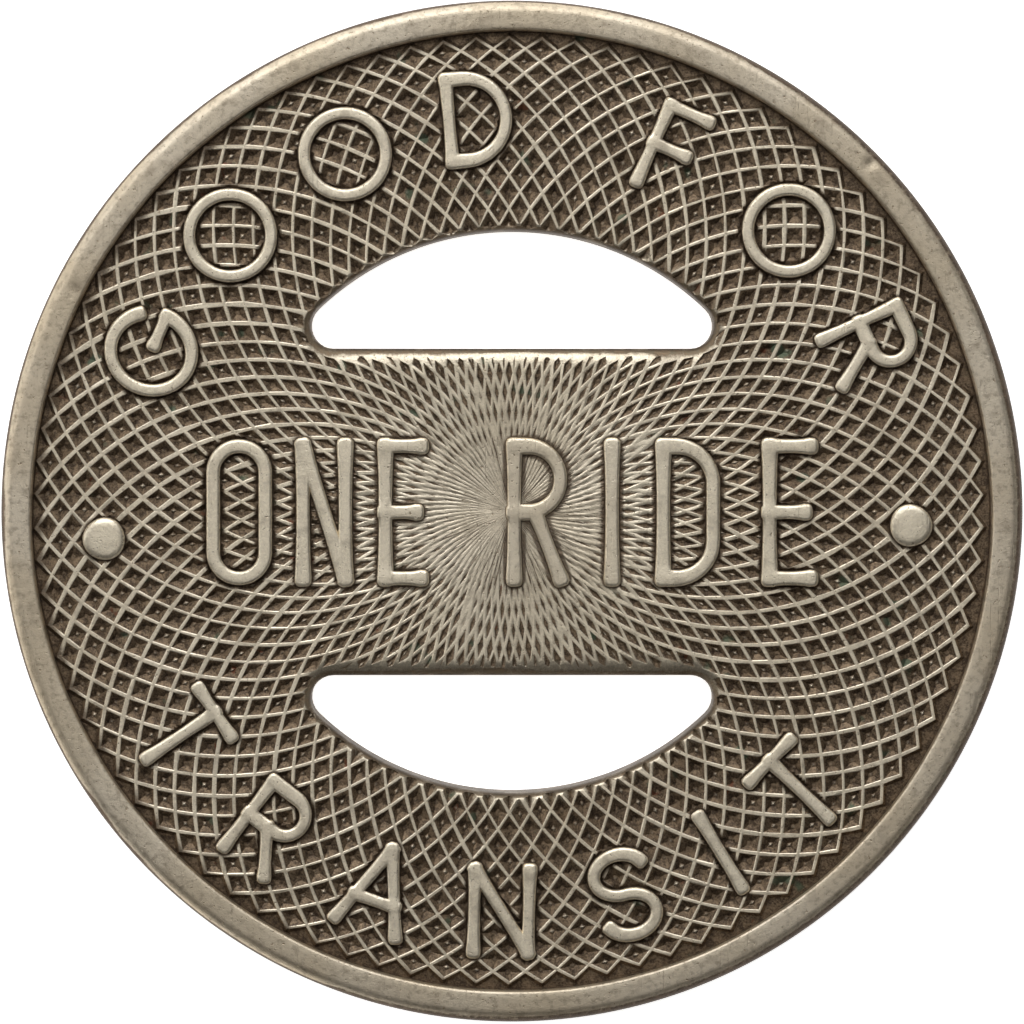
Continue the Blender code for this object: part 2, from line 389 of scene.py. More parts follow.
def wander(x, y, size, phase):
    """A smooth wave pattern between -1 and 1, about size across."""
    a = np.sin(x / size * 2.1 + phase) * np.cos(y / size * 1.7 - 1.3 * phase)
    b = np.sin((x + y) / size * 1.3 + 2.7 * phase) * np.cos((x - y) / size * 2.3 + phase)
    return (a + b) / 2


PIT_CORNERS = [(0, 0), (1, 0), (1, 1), (0, 1)]


class Lattice:
    """Gathers the vertices of the engine turning in lattice coordinates, then its faces."""

    def __init__(self):
        generator = np.random.default_rng(SEED)
        self.vertices = []  # p, q, level (0 at a pit's bottom, 1 on a line's top), glint
        self.faces = []
        self.corners = {}
        self.segments = {}
        self.p_width = 1 + LINE_SPREAD * generator.standard_normal(TURNS)
        self.q_width = 1 + LINE_SPREAD * generator.standard_normal(TURNS)
        uneven = generator.standard_normal((2, TURNS, TURNS)).clip(-2, 2)
        self.unevenness = 1 + CROSSING_SPREAD * uneven
        self.dot_size = DOT_SIZE_MOST * generator.uniform(0.0, 1.0, (TURNS, TURNS)) ** DOT_SIZE_POWER
        self.floor_level = generator.uniform(-0.08, 0.22, (TURNS, TURNS))
        inner = (TURNS - SHALLOW_RING, TURNS)
        self.floor_level[SHALLOW_RING:] = generator.uniform(-0.1, 0.3, inner)
        ray_level = generator.uniform(-0.05, 0.45, TURNS)
        for ring in range(SHALLOW_RING, TURNS):
            self.floor_level[ring] += np.roll(ray_level, -ring)
        self.off_centre = generator.uniform(-OFF_CENTRE_MOST, OFF_CENTRE_MOST, (2, TURNS, TURNS))
        self.pitches = pitch_at(np.arange(TURNS))
        self.dense = self.find_dense()

    def find_dense(self):
        """The crossings that lie close enough to a letter or pellet for finely cut lines."""
        rings, lines = np.meshgrid(np.arange(TURNS // 2 + 1), np.arange(TURNS), indexing="ij")
        spots = lattice_xy(rings.ravel() + lines.ravel(), lines.ravel())
        side = distance_to_relief(spots).reshape(rings.shape)
        return (side < FINE_REACH) & (side > -FINE_REACH_INSIDE)

    def add(self, p, q, level, glint=0.0):
        self.vertices.append((p, q, level, glint))
        return len(self.vertices) - 1

    def widths(self, ring, q):
        """The half-widths of the two lines that meet at a crossing, as shares of the pitch."""
        pitch = self.pitches[ring]
        crowding = (pitch / WIDE_PITCH) ** CROWDING_POWER
        crowding *= 1 + SIDE_WEAR * math.cos(2 * math.pi / TURNS * (ring + 2 * q))
        uneven_p = self.p_width[(ring + q) % TURNS] * self.unevenness[0, ring, q]
        uneven_q = self.q_width[q] * self.unevenness[1, ring, q]
        halves = []
        for half, uneven in ((P_LINE_HALF, uneven_p), (Q_LINE_HALF, uneven_q)):
            even_share = min(LINE_HALF_MOST, half * crowding / pitch)
            halves.append(min(UNEVEN_HALF_MOST, uneven * even_share))
        return halves

    def crossing(self, ring, q):
        """The four corners of the flat where two lines cross."""
        q %= TURNS
        key = (ring, q)
        if key not in self.corners:
            across_p, across_q = self.widths(ring, q)
            self.corners[key] = {
                (s, t): self.add(ring + q + s * across_p, q + t * across_q, 1.0)
                for s in (-1, 1)
                for t in (-1, 1)
            }
            at = self.corners[key]
            self.faces.append((at[-1, -1], at[1, -1], at[1, 1], at[-1, 1]))
        return self.corners[key]

    def segment(self, family, ring, q):
        """A line's flat top between two crossings, as its two sides' vertices."""
        q %= TURNS
        key = (family, ring, q)
        if key in self.segments:
            return self.segments[key]
        next_ring = ring - 1 if family == "p" else ring + 1
        next_q = (q + 1) % TURNS if family == "p" else q
        first, last = self.crossing(ring, q), self.crossing(next_ring, next_q)
        steps = RAY_STEPS if ring >= RAY_RING else 1
        if self.dense[ring, q] or self.dense[next_ring, next_q]:
            steps = FINE_STEPS
        sunk = RAY_SINK * smoothstep(RAY_RING, RAY_RING + 2, ring)
        first_p, first_q = self.widths(ring, q)
        last_p, last_q = self.widths(next_ring, next_q)
        sides = {}
        for side in (-1, 1):
            start = first[(side, 1)] if family == "p" else first[(1, side)]
            end = last[(side, -1)] if family == "p" else last[(-1, side)]
            run = [start]
            for share in (index / steps for index in range(1, steps)):
                if family == "p":
                    half = first_p + (last_p - first_p) * share
                    along = q + first_q + share * (1 - first_q - last_q)
                    run.append(self.add(ring + q + side * half, along, 1.0))
                else:
                    half = first_q + (last_q - first_q) * share
                    along = ring + q + first_p + share * (1 - first_p - last_p)
                    run.append(self.add(along, q + side * half, 1 - sunk * 4 * share * (1 - share)))
            sides[side] = run + [end]
        for low, high in zip(range(steps), range(1, steps + 1)):
            self.faces.append((sides[-1][low], sides[-1][high], sides[1][high], sides[1][low]))
        self.segments[key] = sides
        return sides

    def square(self, middle, half, steps, level):
        """A loop of vertices round a pit's middle, as one run for each of its four sides."""
        p, q = middle
        spots = [(p + (2 * a - 1) * half, q + (2 * b - 1) * half) for a, b in PIT_CORNERS]
        corner = [self.add(*spot, level) for spot in spots]
        runs = []
        for side, count in enumerate(steps):
            start, end = spots[side], spots[(side + 1) % 4]
            between = []
            for share in (index / count for index in range(1, count)):
                spot = [a + (b - a) * share for a, b in zip(start, end)]
                between.append(self.add(*spot, level))
            runs.append([corner[side], *between, corner[(side + 1) % 4]])
        return runs

    def pit(self, ring, q):
        """An upside-down pyramid between four lines, with a dot on its small floor."""
        tops = [
            self.segment("q", ring, q)[1],
            self.segment("p", ring + 1, q)[-1],
            list(reversed(self.segment("q", ring - 1, q + 1)[-1])),
            list(reversed(self.segment("p", ring, q)[1])),
        ]
        steps = [len(top) - 1 for top in tops]
        shift_p, shift_q = self.off_centre[:, ring, q]
        middle = (ring + q + 0.5 + shift_p, q + 0.5 + shift_q)
        floor_level = self.floor_level[ring, q]
        waist_middle = (ring + q + 0.5 + shift_p / 2, q + 0.5 + shift_q / 2)
        next_q = (q + 1) % TURNS
        corners = ((ring, q), (ring + 1, q), (ring, next_q), (ring - 1, next_q))
        mouth = 0.5 - max(max(self.widths(*corner)) for corner in corners)
        waist_level = 0.48 + floor_level / 2
        waist = self.square(waist_middle, WAIST_SHARE * mouth, steps, waist_level)
        floor = self.square(middle, FLOOR_SHARE * mouth, [1] * 4, floor_level)
        for top, belt, low in zip(tops, waist, floor):
            for index in range(len(top) - 1):
                self.faces.append((top[index], top[index + 1], belt[index + 1], belt[index]))
            self.faces.append(tuple(belt) + (low[1], low[0]))
        if self.pitches[ring] < DOT_PITCH:
            self.faces.append(tuple(run[0] for run in floor))
        else:
            self.dot(middle, mouth, floor, floor_level, self.dot_size[ring, q])

    def dot(self, middle, mouth, floor, floor_level, size):
        """A small peak in the middle of a pit's floor, whose tip carries a painted highlight."""
        foot = self.square(middle, DOT_SHARE * mouth * (0.6 + 0.4 * size), [1] * 4, floor_level)
        # The peak's glint is a painted highlight, fading to none at the dot's foot.
        peak = self.add(*middle, floor_level + DOT_RISE * size, DOT_GLINT * size)
        for low, run in zip(floor, foot):
            self.faces.append((low[0], low[1], run[1], run[0]))
            self.faces.append((run[0], run[1], peak))

    def build(self):
        """Vertex positions, faces, and how much painted highlight and how much dirt with painted
        shade each vertex has.
        """
        for ring in range(OUTER_RING, INNER_RING + 1):
            for q in range(TURNS):
                self.pit(ring, q)
        p, q, level, glint = np.array(self.vertices).T
        flat = lattice_xy(p, q)
        heights, grime_and_shade = field_heights(flat, p - q, level)
        return np.column_stack([flat, heights]), self.faces, glint, grime_and_shade


def field_heights(flat, ring, level):
    """Heights of lattice vertices, and dirt with painted shade: up to 1 close to a letter or the
    rim.

    Level 0 is a pit's bottom and level 1 a line's top.
    """
    depth = PIT_DEPTH * np.minimum(1, pitch_at(ring) / FULL_DEPTH_PITCH) ** DEPTH_POWER
    x, y = flat[:, 0], flat[:, 1]
    relief_distance = distance_to_relief(flat)
    kept = smoothstep(*LETTER_GUTTER, relief_distance)
    # clean falls near the letters and the rim, where dirt and painted shade gather.
    clean = smoothstep(*LETTER_GRIME_AND_SHADE, relief_distance)
    clean *= 1 - smoothstep(*RIM_GRIME_AND_SHADE, np.hypot(x, y))
    long_waves = 1 + 0.05 * wander(x, y, 0.9 * MM, 0.4)
    short_waves = 1 + 0.1 * wander(x, y, 0.13 * MM, 2.0)
    rise = level * kept * np.where(level == 1, long_waves, short_waves)
    chord_share = 1 - smoothstep(PIERCING_CHORD, PIERCING_CHORD + 0.5 * MM, np.abs(y))
    lip = CURVE_LIP + (CHORD_LIP - CURVE_LIP) * chord_share
    lip = lip * (1 + 0.25 * wander(x, y, 0.5 * MM, 1.1))
    filled = 1 - smoothstep(0.15 * lip, 0.48 * lip, distance_to_piercings(flat))
    across = (x - BATTERED_CENTRE[0]) / BATTERED_SIZE[0]
    up = (y - BATTERED_CENTRE[1]) / BATTERED_SIZE[1]
    battered = np.exp(-(across**2 + up**2))
    rise = rise + (0.97 - rise) * np.maximum(filled, 0.85 * battered * kept)
    return FIELD - depth * (1 - rise), 1 - clean


# Piercings


def piercing_outline(grow_curve, grow_chord):
    """Outline of the upper piercing, with its curved and straight sides pushed outwards."""
    radius = PIERCING_RADIUS + grow_curve
    chord = PIERCING_CHORD - grow_chord
    corner = PIERCING_CORNER + (grow_curve + grow_chord) / 2
    corner_y = chord + corner
    corner_x = math.sqrt((radius - corner) ** 2 - corner_y**2)
    lean = math.atan2(corner_y, corner_x)
    corner_step = (math.pi / 2 + lean) / CORNER_STEPS
    curve_step = (math.pi - 2 * lean) / CURVE_STEPS
    right = arc_points((corner_x, corner_y), corner, -math.pi / 2, lean, corner_step)
    left = [Vector((-point.x, point.y)) for point in reversed(right)]
    curve = arc_points((0, 0), radius, lean, math.pi - lean, curve_step)
    chord_points = line(left[-1], right[0], CHORD_STEPS)
    return right + curve[1:-1] + left + chord_points[1:-1]


def lip_levels():
    """Heights of the cutter's sections, and how far open the lip's roll is at each."""
    levels = [(MIDDLE - 0.4 * MM, 0.0)]
    for index in range(LIP_STEPS + 1):
        turn = math.pi / 2 * index / LIP_STEPS
        levels.append((FIELD - LIP_DEPTH * (1 - math.sin(turn)), 1 - math.cos(turn)))
    levels.append((FIELD + 0.012 * MM, 1.12))
    levels.append((FIELD + 0.10 * MM, 1.5))
    return levels


def piercing_cutter(name, side):
    """A solid that punches one piercing out of the obverse plate and rolls its edge.

    side is 1 for the upper piercing and -1 for the lower one.
    """
    levels = lip_levels()
    vertices = []
    for height, open_share in levels:
        for point in piercing_outline(open_share * CURVE_LIP, open_share * CHORD_LIP):
            vertices.append((side * point.x, side * point.y, height))
    count = len(vertices) // len(levels)
    top = (len(levels) - 1) * count
    faces = [tuple(range(count)), tuple(top + index for index in range(count))]
    faces += wall_faces([range(count)], len(levels), count)
    return new_solid(name, vertices, faces)


def close_plate(shape):
    """Fills the lattice's middle and carries its outer edge down to the token's middle."""
    face_outwards(shape)
    rims = [edge for edge in shape.edges if edge.is_boundary]
    inner = [edge for edge in rims if edge.verts[0].co.to_2d().length < PIERCING_CHORD / 2]
    outer = [edge for edge in rims if edge.verts[0].co.to_2d().length > PIERCING_RADIUS]
    hub = shape.verts.new((LATTICE_CENTRE[0], LATTICE_CENTRE[1], FIELD))
    for edge in inner:
        shape.faces.new((edge.verts[0], edge.verts[1], hub))
    for height in (FIELD - 0.85 * PIT_DEPTH, FIELD - 1.1 * PIT_DEPTH, MIDDLE):
        strip = bmesh.ops.extrude_edge_only(shape, edges=outer)["geom"]
        edges = [item for item in strip if isinstance(item, bmesh.types.BMEdge)]
        outer = [edge for edge in edges if edge.is_boundary]
        sloping = height > FIELD - PIT_DEPTH
        for vert in (item for item in strip if isinstance(item, bmesh.types.BMVert)):
            out = vert.co.to_2d()
            out.length = out.length + GUTTER_SLOPE if sloping else GUTTER_RADIUS
            vert.co = (out.x, out.y, height)
    foot = shape.verts.new((0, 0, MIDDLE))
    for edge in [edge for edge in shape.edges if edge.is_boundary]:
        shape.faces.new((edge.verts[0], edge.verts[1], foot))
    face_outwards(shape)


def field_plate(name):
    """The engine-turned face as a closed plate that reaches down to the token's middle.

    The piercing punch's cuts are the only part of it without the attribute "struck".
    """
    vertices, faces, glint, grime_and_shade = Lattice().build()
    plate = new_object(name, vertices, faces)
    # glint is a painted highlight on the pits' dots; grime is dirt and painted shade near the
    # letters and the rim.
    for label, values in (("glint", glint), ("grime_and_shade", grime_and_shade), ("struck", np.ones(len(glint)))):
        plate.data.attributes.new(label, "FLOAT", "POINT").data.foreach_set("value", values)
    with_bmesh(plate, close_plate)
    return plate


def boolean(obj, tools, operation, solver):
    """Applies one Boolean for each tool, then removes the tools."""
    for tool in tools:
        modifier = obj.modifiers.new("cut", "BOOLEAN")
        modifier.operation = operation
        modifier.object = tool
        modifier.solver = solver
    depsgraph = bpy.context.evaluated_depsgraph_get()
    mesh = bpy.data.meshes.new_from_object(obj.evaluated_get(depsgraph))
    obj.modifiers.clear()
    obj.data = mesh
    for tool in tools:
        bpy.data.objects.remove(tool, do_unlink=True)


# Relief: letters and pellets with rounded shoulders

# Height from the field's tops, and how much wider than its nominal half-width a stroke is
SHOULDER = [
    (-0.19, 0.012), (-0.06, 0.010), (0.00, 0.000), (0.045, -0.010),
    (0.070, -0.022), (0.086, -0.038), (0.096, -0.060), (0.100, -0.086),
]
LIFT = 0.0004 * MM  # keeps the tops of a letter's strokes from lying in one plane
END_CORNER = 0.70  # how round a stroke's ends are: 1 is a half circle
END_CORNER_STEPS = 4
FLARE = 0.22  # how much wider a stroke is at its ends than in its middle


def side_directions(path, closed):
    """Unit normals to the left of the path, stretched at bends so that the width holds."""
    count = len(path)
    normals = []
    for index in range(count):
        before = path[index - 1] if index or closed else None
        after = path[(index + 1) % count] if index < count - 1 or closed else None
        turn_in = (path[index] - before).normalized() if before is not None else None
        turn_out = (after - path[index]).normalized() if after is not None else None
        turn_in = turn_in or turn_out
        turn_out = turn_out or turn_in
        along = (turn_in + turn_out).normalized()
        normal = Vector((-along.y, along.x))
        normals.append(normal / max(0.5, along.dot(turn_in)))
    return normals


def stroke_end(centre, forward, half_width):
    """Points round a stroke's end, from its left corner to its right corner."""
    left = Vector((-forward.y, forward.x))
    corner = END_CORNER * half_width
    flat = half_width - corner
    points = []
    for side, start in ((1, 0), (-1, math.pi / 2)):
        for step in range(END_CORNER_STEPS + 1):
            turn = start + math.pi / 2 * step / END_CORNER_STEPS
            across = side * flat + corner * math.cos(turn)
            along = flat + corner * math.sin(turn)
            points.append(centre + left * across + forward * along)
    return points


def stroke_half_widths(path, closed, half_width, grow):
    if closed:
        return [half_width * 0.92 + grow] * len(path)
    last = len(path) - 1
    return [
        half_width * (1 + FLARE * (abs(2 * index / last - 1) ** 2.5 - 0.35)) + grow
        for index in range(len(path))
    ]


def stroke_outline(path, closed, half_width, grow):
    """A stroke's left side, then its right side backwards, with rounded ends between."""
    normals = side_directions(path, closed)
    halves = stroke_half_widths(path, closed, half_width, grow)
    left = [point + normal * half for point, normal, half in zip(path, normals, halves)]
    right = [point - normal * half for point, normal, half in zip(path, normals, halves)]
    right.reverse()
    if closed:
        return left + right
    end = stroke_end(path[-1], (path[-1] - path[-2]).normalized(), halves[-1])
    start = stroke_end(path[0], (path[0] - path[1]).normalized(), halves[0])
    return left + end[1:-1] + right + start[1:-1]


def stroke_caps(count, size, closed, shift):
    """The flat faces across a stroke at one level, whose vertices start at shift."""
    cap = (size - 2 * count) // 2
    right_side = [size - cap - 1 - index for index in range(count)]
    faces = []
    for index in range(count if closed else count - 1):
        ahead = (index + 1) % count
        faces.append((index, ahead, right_side[ahead], right_side[index]))
    if not closed:
        faces.append(tuple(range(count - 1, count + cap + 1)))
        faces.append((right_side[0], *range(size - cap, size), 0))
    return [tuple(shift + vertex for vertex in face) for face in faces]


def stroke_solid(name, path, closed, stroke, lift):
    """A raised stroke: the same outline at every level of the shoulder, joined up."""
    vertices = []
    for rise, grow in SHOULDER:
        height = FIELD + rise * MM + lift
        outline = stroke_outline(path, closed, stroke / 2, grow * MM)
        vertices += [(point.x, point.y, height) for point in outline]
    count, size = len(path), len(vertices) // len(SHOULDER)
    loops = [range(count), range(count, size)] if closed else [range(size)]
    faces = wall_faces(loops, len(SHOULDER), size)
    for level in (0, len(SHOULDER) - 1):
        faces += stroke_caps(count, size, closed, level * size)
    return new_solid(name, vertices, faces)


def join_objects(name, objects):
    """One object from several solids that don't touch."""
    combined = bmesh.new()
    for obj in objects:
        combined.from_mesh(obj.data)
        bpy.data.objects.remove(obj, do_unlink=True)
    mesh = bpy.data.meshes.new(name)
    combined.to_mesh(mesh)
    combined.free()
    return add_object(name, mesh)


def legend_object(name, letters, stroke):
    solids = []
    for number, letter in enumerate(letters):
        strokes = [
            stroke_solid(f"{name}_{number}_{index}", path, closed, stroke, index * LIFT)
            for index, (path, closed) in enumerate(letter)
        ]
        if len(strokes) > 1:
            boolean(strokes[0], strokes[1:], "UNION", "MANIFOLD")
        solids.append(strokes[0])
    return join_objects(name, solids)


# Radius and height above the field's tops
PELLET_SECTION = [
    (0.50, -0.19), (0.495, -0.05), (0.48, 0.02), (0.455, 0.065),
    (0.41, 0.088), (0.33, 0.098), (0.2, 0.102),
]
PELLET_RISE = 0.103 * MM  # at the middle
PELLET_SEGMENTS = 40


def pellet_solid(name, centre):
    """A low, slightly uneven button with a worn shoulder."""
    vertices = []
    for radius, rise in PELLET_SECTION:
        vertices += ring_points(
            PELLET_SEGMENTS,
            FIELD + rise * MM,
            lambda turn: radius * MM * (1 + 0.02 * math.sin(3 * turn + centre[0] * 900)),
            centre,
        )
    last = len(vertices) - PELLET_SEGMENTS
    vertices.append((*centre, FIELD + PELLET_RISE))
    faces = [tuple(range(PELLET_SEGMENTS))]
    faces += wall_faces([range(PELLET_SEGMENTS)], len(PELLET_SECTION), PELLET_SEGMENTS)
    for index in range(PELLET_SEGMENTS):
        ahead = (index + 1) % PELLET_SEGMENTS
        faces.append((last + index, last + ahead, len(vertices) - 1))
    return new_solid(name, vertices, faces)


# Rim: a ring with a worn, slightly crowned top and a rounded outer edge

# Distance in from the edge and depth below the top, down to the field at the inner side
RIM_SECTION = [
    (0.0, 0.62), (0.0, 0.40), (0.004, 0.300), (0.016, 0.220),
    (0.038, 0.158), (0.072, 0.109), (0.116, 0.067), (0.165, 0.034),
    (0.215, 0.012), (0.255, 0.003), (0.31, 0.0), (0.42, 0.0),
    (0.53, 0.0), (0.64, 0.001), (0.668, 0.008), (0.688, 0.026),
    (0.702, 0.065), (0.718, 0.13), (0.740, 0.21), (0.756, 0.27),
    (0.77, 0.45),
]
RIM_SEGMENTS = 720
RIM_WOBBLE = 0.018  # how uneven the rim's inner side is

# Knocks on the rim: degrees round, distance in from the edge, size, depth
KNOCKS = [
    (153.1, 0.50, 0.12, 0.045), (151.5, 0.10, 0.16, 0.030),
    (44.2, 0.27, 0.15, 0.055), (36.5, 0.10, 0.16, 0.035),
    (12.0, 0.14, 0.10, 0.020), (-22.0, 0.12, 0.20, 0.030),
    (-48.0, 0.45, 0.08, 0.014), (-95.0, 0.10, 0.14, 0.022),
    (-140.0, 0.16, 0.18, 0.026), (88.0, 0.25, 0.10, 0.015),
    (112.0, 0.12, 0.16, 0.024), (178.0, 0.50, 0.09, 0.014),
    (-170.0, 0.08, 0.15, 0.026),
]
REVERSE_KNOCK_TURN = 131  # a knock at this angle less its own goes on the reverse


def rim_radius(inset, turn):
    """Distance from the axis; the rim's inner side is a little uneven."""
    inner = max(0.0, inset - 0.5) / 0.3
    waves = math.sin(3 * turn + 1) + 0.6 * math.sin(7 * turn) + 0.3 * math.sin(23 * turn)
    return RADIUS - (inset + RIM_WOBBLE * inner * waves) * MM


def rim_ring():
    """The rim and the token's edge, the same above the middle as below it."""
    section = [(inset, TOP - depth * MM) for inset, depth in RIM_SECTION]
    section += [(inset, TOP - height) for inset, height in reversed(section)]
    vertices = []
    for inset, height in section:
        vertices += ring_points(RIM_SEGMENTS, height, lambda turn: rim_radius(inset, turn))
    vertices = np.array(vertices)
    knock(vertices)
    faces = wall_faces([range(RIM_SEGMENTS)], len(section), RIM_SEGMENTS, wraps=True)
    return new_solid("rim", vertices, faces)


def knock(vertices):
    """Dents the rim's two faces; the reverse's knocks are the obverse's, turned round."""
    for degrees, inset, size, depth in KNOCKS:
        for upper in (True, False):
            turn = math.radians(degrees if upper else REVERSE_KNOCK_TURN - degrees)
            reach = RADIUS - inset * MM
            height = TOP if upper else 0.0
            spot = np.array([reach * math.cos(turn), reach * math.sin(turn), height])
            away = np.sqrt(((vertices - spot) ** 2).sum(1)) / (size * MM)
            push = depth * MM * np.exp(-(away**2) * 2)
            vertices[:, 2] += -push if upper else push
            sideways = push * 0.5 / np.hypot(vertices[:, 0], vertices[:, 1])
            vertices[:, 0] -= vertices[:, 0] * sideways
            vertices[:, 1] -= vertices[:, 1] * sideways


# Materials


class Nodes:
    """Short calls for building a material's node tree."""

    def __init__(self, material):
        material.use_nodes = True
        self.tree = material.node_tree
        self.tree.nodes.clear()

    def make(self, kind, inputs=None, **settings):
        node = self.tree.nodes.new(kind)
        for name, value in settings.items():
            setattr(node, name, value)
        for name, value in (inputs or {}).items():
            self.feed(node.inputs[name], value)
        return node

    def feed(self, socket, value):
        if isinstance(value, bpy.types.NodeSocket):
            self.tree.links.new(value, socket)
        else:
            socket.default_value = value

    def attribute(self, name):
        return self.make("ShaderNodeAttribute", attribute_name=name).outputs["Fac"]

    def plus(self, first, second):
        return self.maths("ADD", first, second)

    def minus(self, first, second):
        return self.maths("SUBTRACT", first, second)

    def times(self, first, second):
        return self.maths("MULTIPLY", first, second)

    def maths(self, operation, first, second=0.0):
        node = self.tree.nodes.new("ShaderNodeMath")
        node.operation = operation
        for socket, value in zip(node.inputs, (first, second)):
            self.feed(socket, value)
        return node.outputs[0]

    def remap(self, value, low, high, to_low=0.0, to_high=1.0, smooth=True):
        node = self.tree.nodes.new("ShaderNodeMapRange")
        node.interpolation_type = "SMOOTHSTEP" if smooth else "LINEAR"
        for socket, number in zip(node.inputs, (value, low, high, to_low, to_high)):
            self.feed(socket, number)
        return node.outputs[0]

    def mix(self, share, first, second):
        node = self.tree.nodes.new("ShaderNodeMix")
        node.data_type = "RGBA"
        self.feed(node.inputs[0], share)
        self.feed(node.inputs[6], first)
        self.feed(node.inputs[7], second)
        return node.outputs[2]

    def noise(self, place, size, detail=2.0, roughness=0.5, distortion=0.0):
        """Noise with features about size across."""
        inputs = {"Vector": place, "Scale": 1 / size, "Detail": detail}
        inputs |= {"Roughness": roughness, "Distortion": distortion}
        return self.make("ShaderNodeTexNoise", inputs).outputs[0]


METAL = (0.705, 0.610, 0.470, 1)
METAL_WARM = (0.615, 0.512, 0.366, 1)
METAL_BRIGHT = (0.960, 0.850, 0.652, 1)
TONED = (0.330, 0.265, 0.190, 1)
PATINA = (0.258, 0.180, 0.108, 1)
PATINA_DARK = (0.066, 0.043, 0.026, 1)
CUT_WALL = (0.200, 0.165, 0.108, 1)
EDGE_BROWN = (0.150, 0.088, 0.055, 1)
VERDIGRIS = (0.085, 0.115, 0.070, 1)
RUST = (0.150, 0.060, 0.030, 1)
DIRT_ROUGHNESS = 0.50
DIRT_METALLIC = 0.70

# Fine scratches: the way a set of them runs, in degrees, and the size of its noise in mm
SCRATCHES = [(24, 0.0495), (-38, 0.0715), (77, 0.0605)]
SCRATCH_STRETCH = 0.035  # a scratch's width as a share of its length


class Surface:
    """The places, measures and noises that a piece's material is mixed from."""

    def __init__(self, n):
        coordinates = n.make("ShaderNodeTexCoord").outputs
        self.place = coordinates["Object"]
        place = n.make("ShaderNodeSeparateXYZ", {"Vector": self.place}).outputs
        self.x, self.y = place["X"], place["Y"]
        self.across = n.make("ShaderNodeCombineXYZ", {"X": self.x, "Y": self.y}).outputs[0]
        length = n.make("ShaderNodeVectorMath", {0: self.across}, operation="LENGTH")
        self.reach = length.outputs["Value"]  # distance from the token's axis
        self.rise = n.maths("ABSOLUTE", n.minus(place["Z"], MIDDLE))
        normal = n.make("ShaderNodeSeparateXYZ", {"Vector": coordinates["Normal"]}).outputs
        self.level = n.maths("ABSOLUTE", normal["Z"])  # 1 on a level surface, 0 on a wall

        # glint paints highlights on the pits' dots; grime paints dirt and shade near the letters and
        # the rim.
        self.glint = n.attribute("glint")
        self.grime_and_shade = n.attribute("grime_and_shade")
        self.unstruck = n.minus(1.0, n.attribute("struck"))

        self.grain = n.noise(self.place, 0.045 * MM, 3, 0.6)
        self.mottle = n.noise(self.place, 0.16 * MM, 3, 0.65)
        self.blotch = n.noise(self.place, 0.5 * MM, 3, 0.55)
        self.cloud = n.noise(self.place, 2.4 * MM, 2, 0.5)
        speckle = n.times(self.mottle, 0.5)
        self.speckle = n.plus(speckle, n.times(self.grain, 0.5))
        self.specks = n.remap(n.noise(self.place, 0.075 * MM, 2, 0.7), 0.625, 0.735)


def side_share(n, surface, side_from, side_start, side_full):
    """1 on the upright sides, with a ragged edge."""
    ragged = n.times(surface.mottle, 0.5)
    ragged = n.plus(ragged, n.times(surface.cloud, 2.0))
    ragged = n.times(n.minus(ragged, 1.25), 1.3 * (side_start - side_full))
    side = n.remap(n.plus(surface.level, ragged), side_start, side_full)
    side = n.times(side, n.remap(surface.reach, side_from, side_from + 0.02 * MM))
    side = n.times(side, surface.unstruck)
    return n.times(side, n.remap(surface.blotch, 0.36, 0.54, 0.6, 1.0))


def wear_and_glint_share(n, surface, heights, side, extra, cut_share):
    """1 where the metal is worn bare or carries a painted highlight, 0 where it is fully tarnished.
    """
    worn = n.remap(surface.rise, *heights)
    worn = n.maths("MAXIMUM", worn, n.times(surface.unstruck, cut_share))
    worn = n.times(worn, n.minus(1.0, side))
    for pattern, strength in ((surface.blotch, 0.25), (surface.grain, 0.35)):
        worn = n.plus(worn, n.times(n.minus(pattern, 0.5), strength))
    # Less bare metal under the extra mask of dirt and painted shade.
    worn = n.remap(n.minus(worn, extra), 0.10, 0.90)
    # Less bare metal near the letters and the rim: dirt, and painted shade that keeps highlights off
    # the lines' ends.
    worn = n.times(worn, n.remap(surface.grime_and_shade, 0.05, 0.75, 1.0, 0.12))
    # The pits' dots get a painted highlight.
    return n.maths("MAXIMUM", worn, n.remap(surface.glint, 0.0, 0.9))


def dirt_colour(n, surface, side, side_colour, extra):
    """Brown tarnishing with spots of green and rust, darker in patches where it is thick; near the
    letters, near the rim and under the extra mask it is darkened by dirt and painted shade.
    """
    dirt = n.mix(n.remap(surface.speckle, 0.38, 0.64), PATINA_DARK, PATINA)
    green = n.remap(n.noise(surface.place, 0.62 * MM, 1), 0.69, 0.76)
    dirt = n.mix(n.times(green, 0.8), dirt, VERDIGRIS)
    rust = n.remap(n.noise(surface.place, 0.40 * MM, 1, 0.4, 0.6), 0.74, 0.80)
    dirt = n.mix(rust, dirt, RUST)
    # Darker near the letters and the rim: dirt and painted shade.
    dirt = n.mix(n.times(surface.grime_and_shade, 0.45), dirt, PATINA_DARK)
    walls = n.mix(n.remap(surface.speckle, 0.38, 0.62), PATINA, side_colour)
    dirt = n.mix(side, dirt, walls)
    steep = n.times(side, n.remap(surface.level, 0.80, 0.50, 0.0, 0.75))
    dirt = n.mix(steep, dirt, PATINA_DARK)
    # Darker under the extra mask: dirt and painted shade.
    return n.mix(n.times(extra, 0.8), dirt, PATINA_DARK)


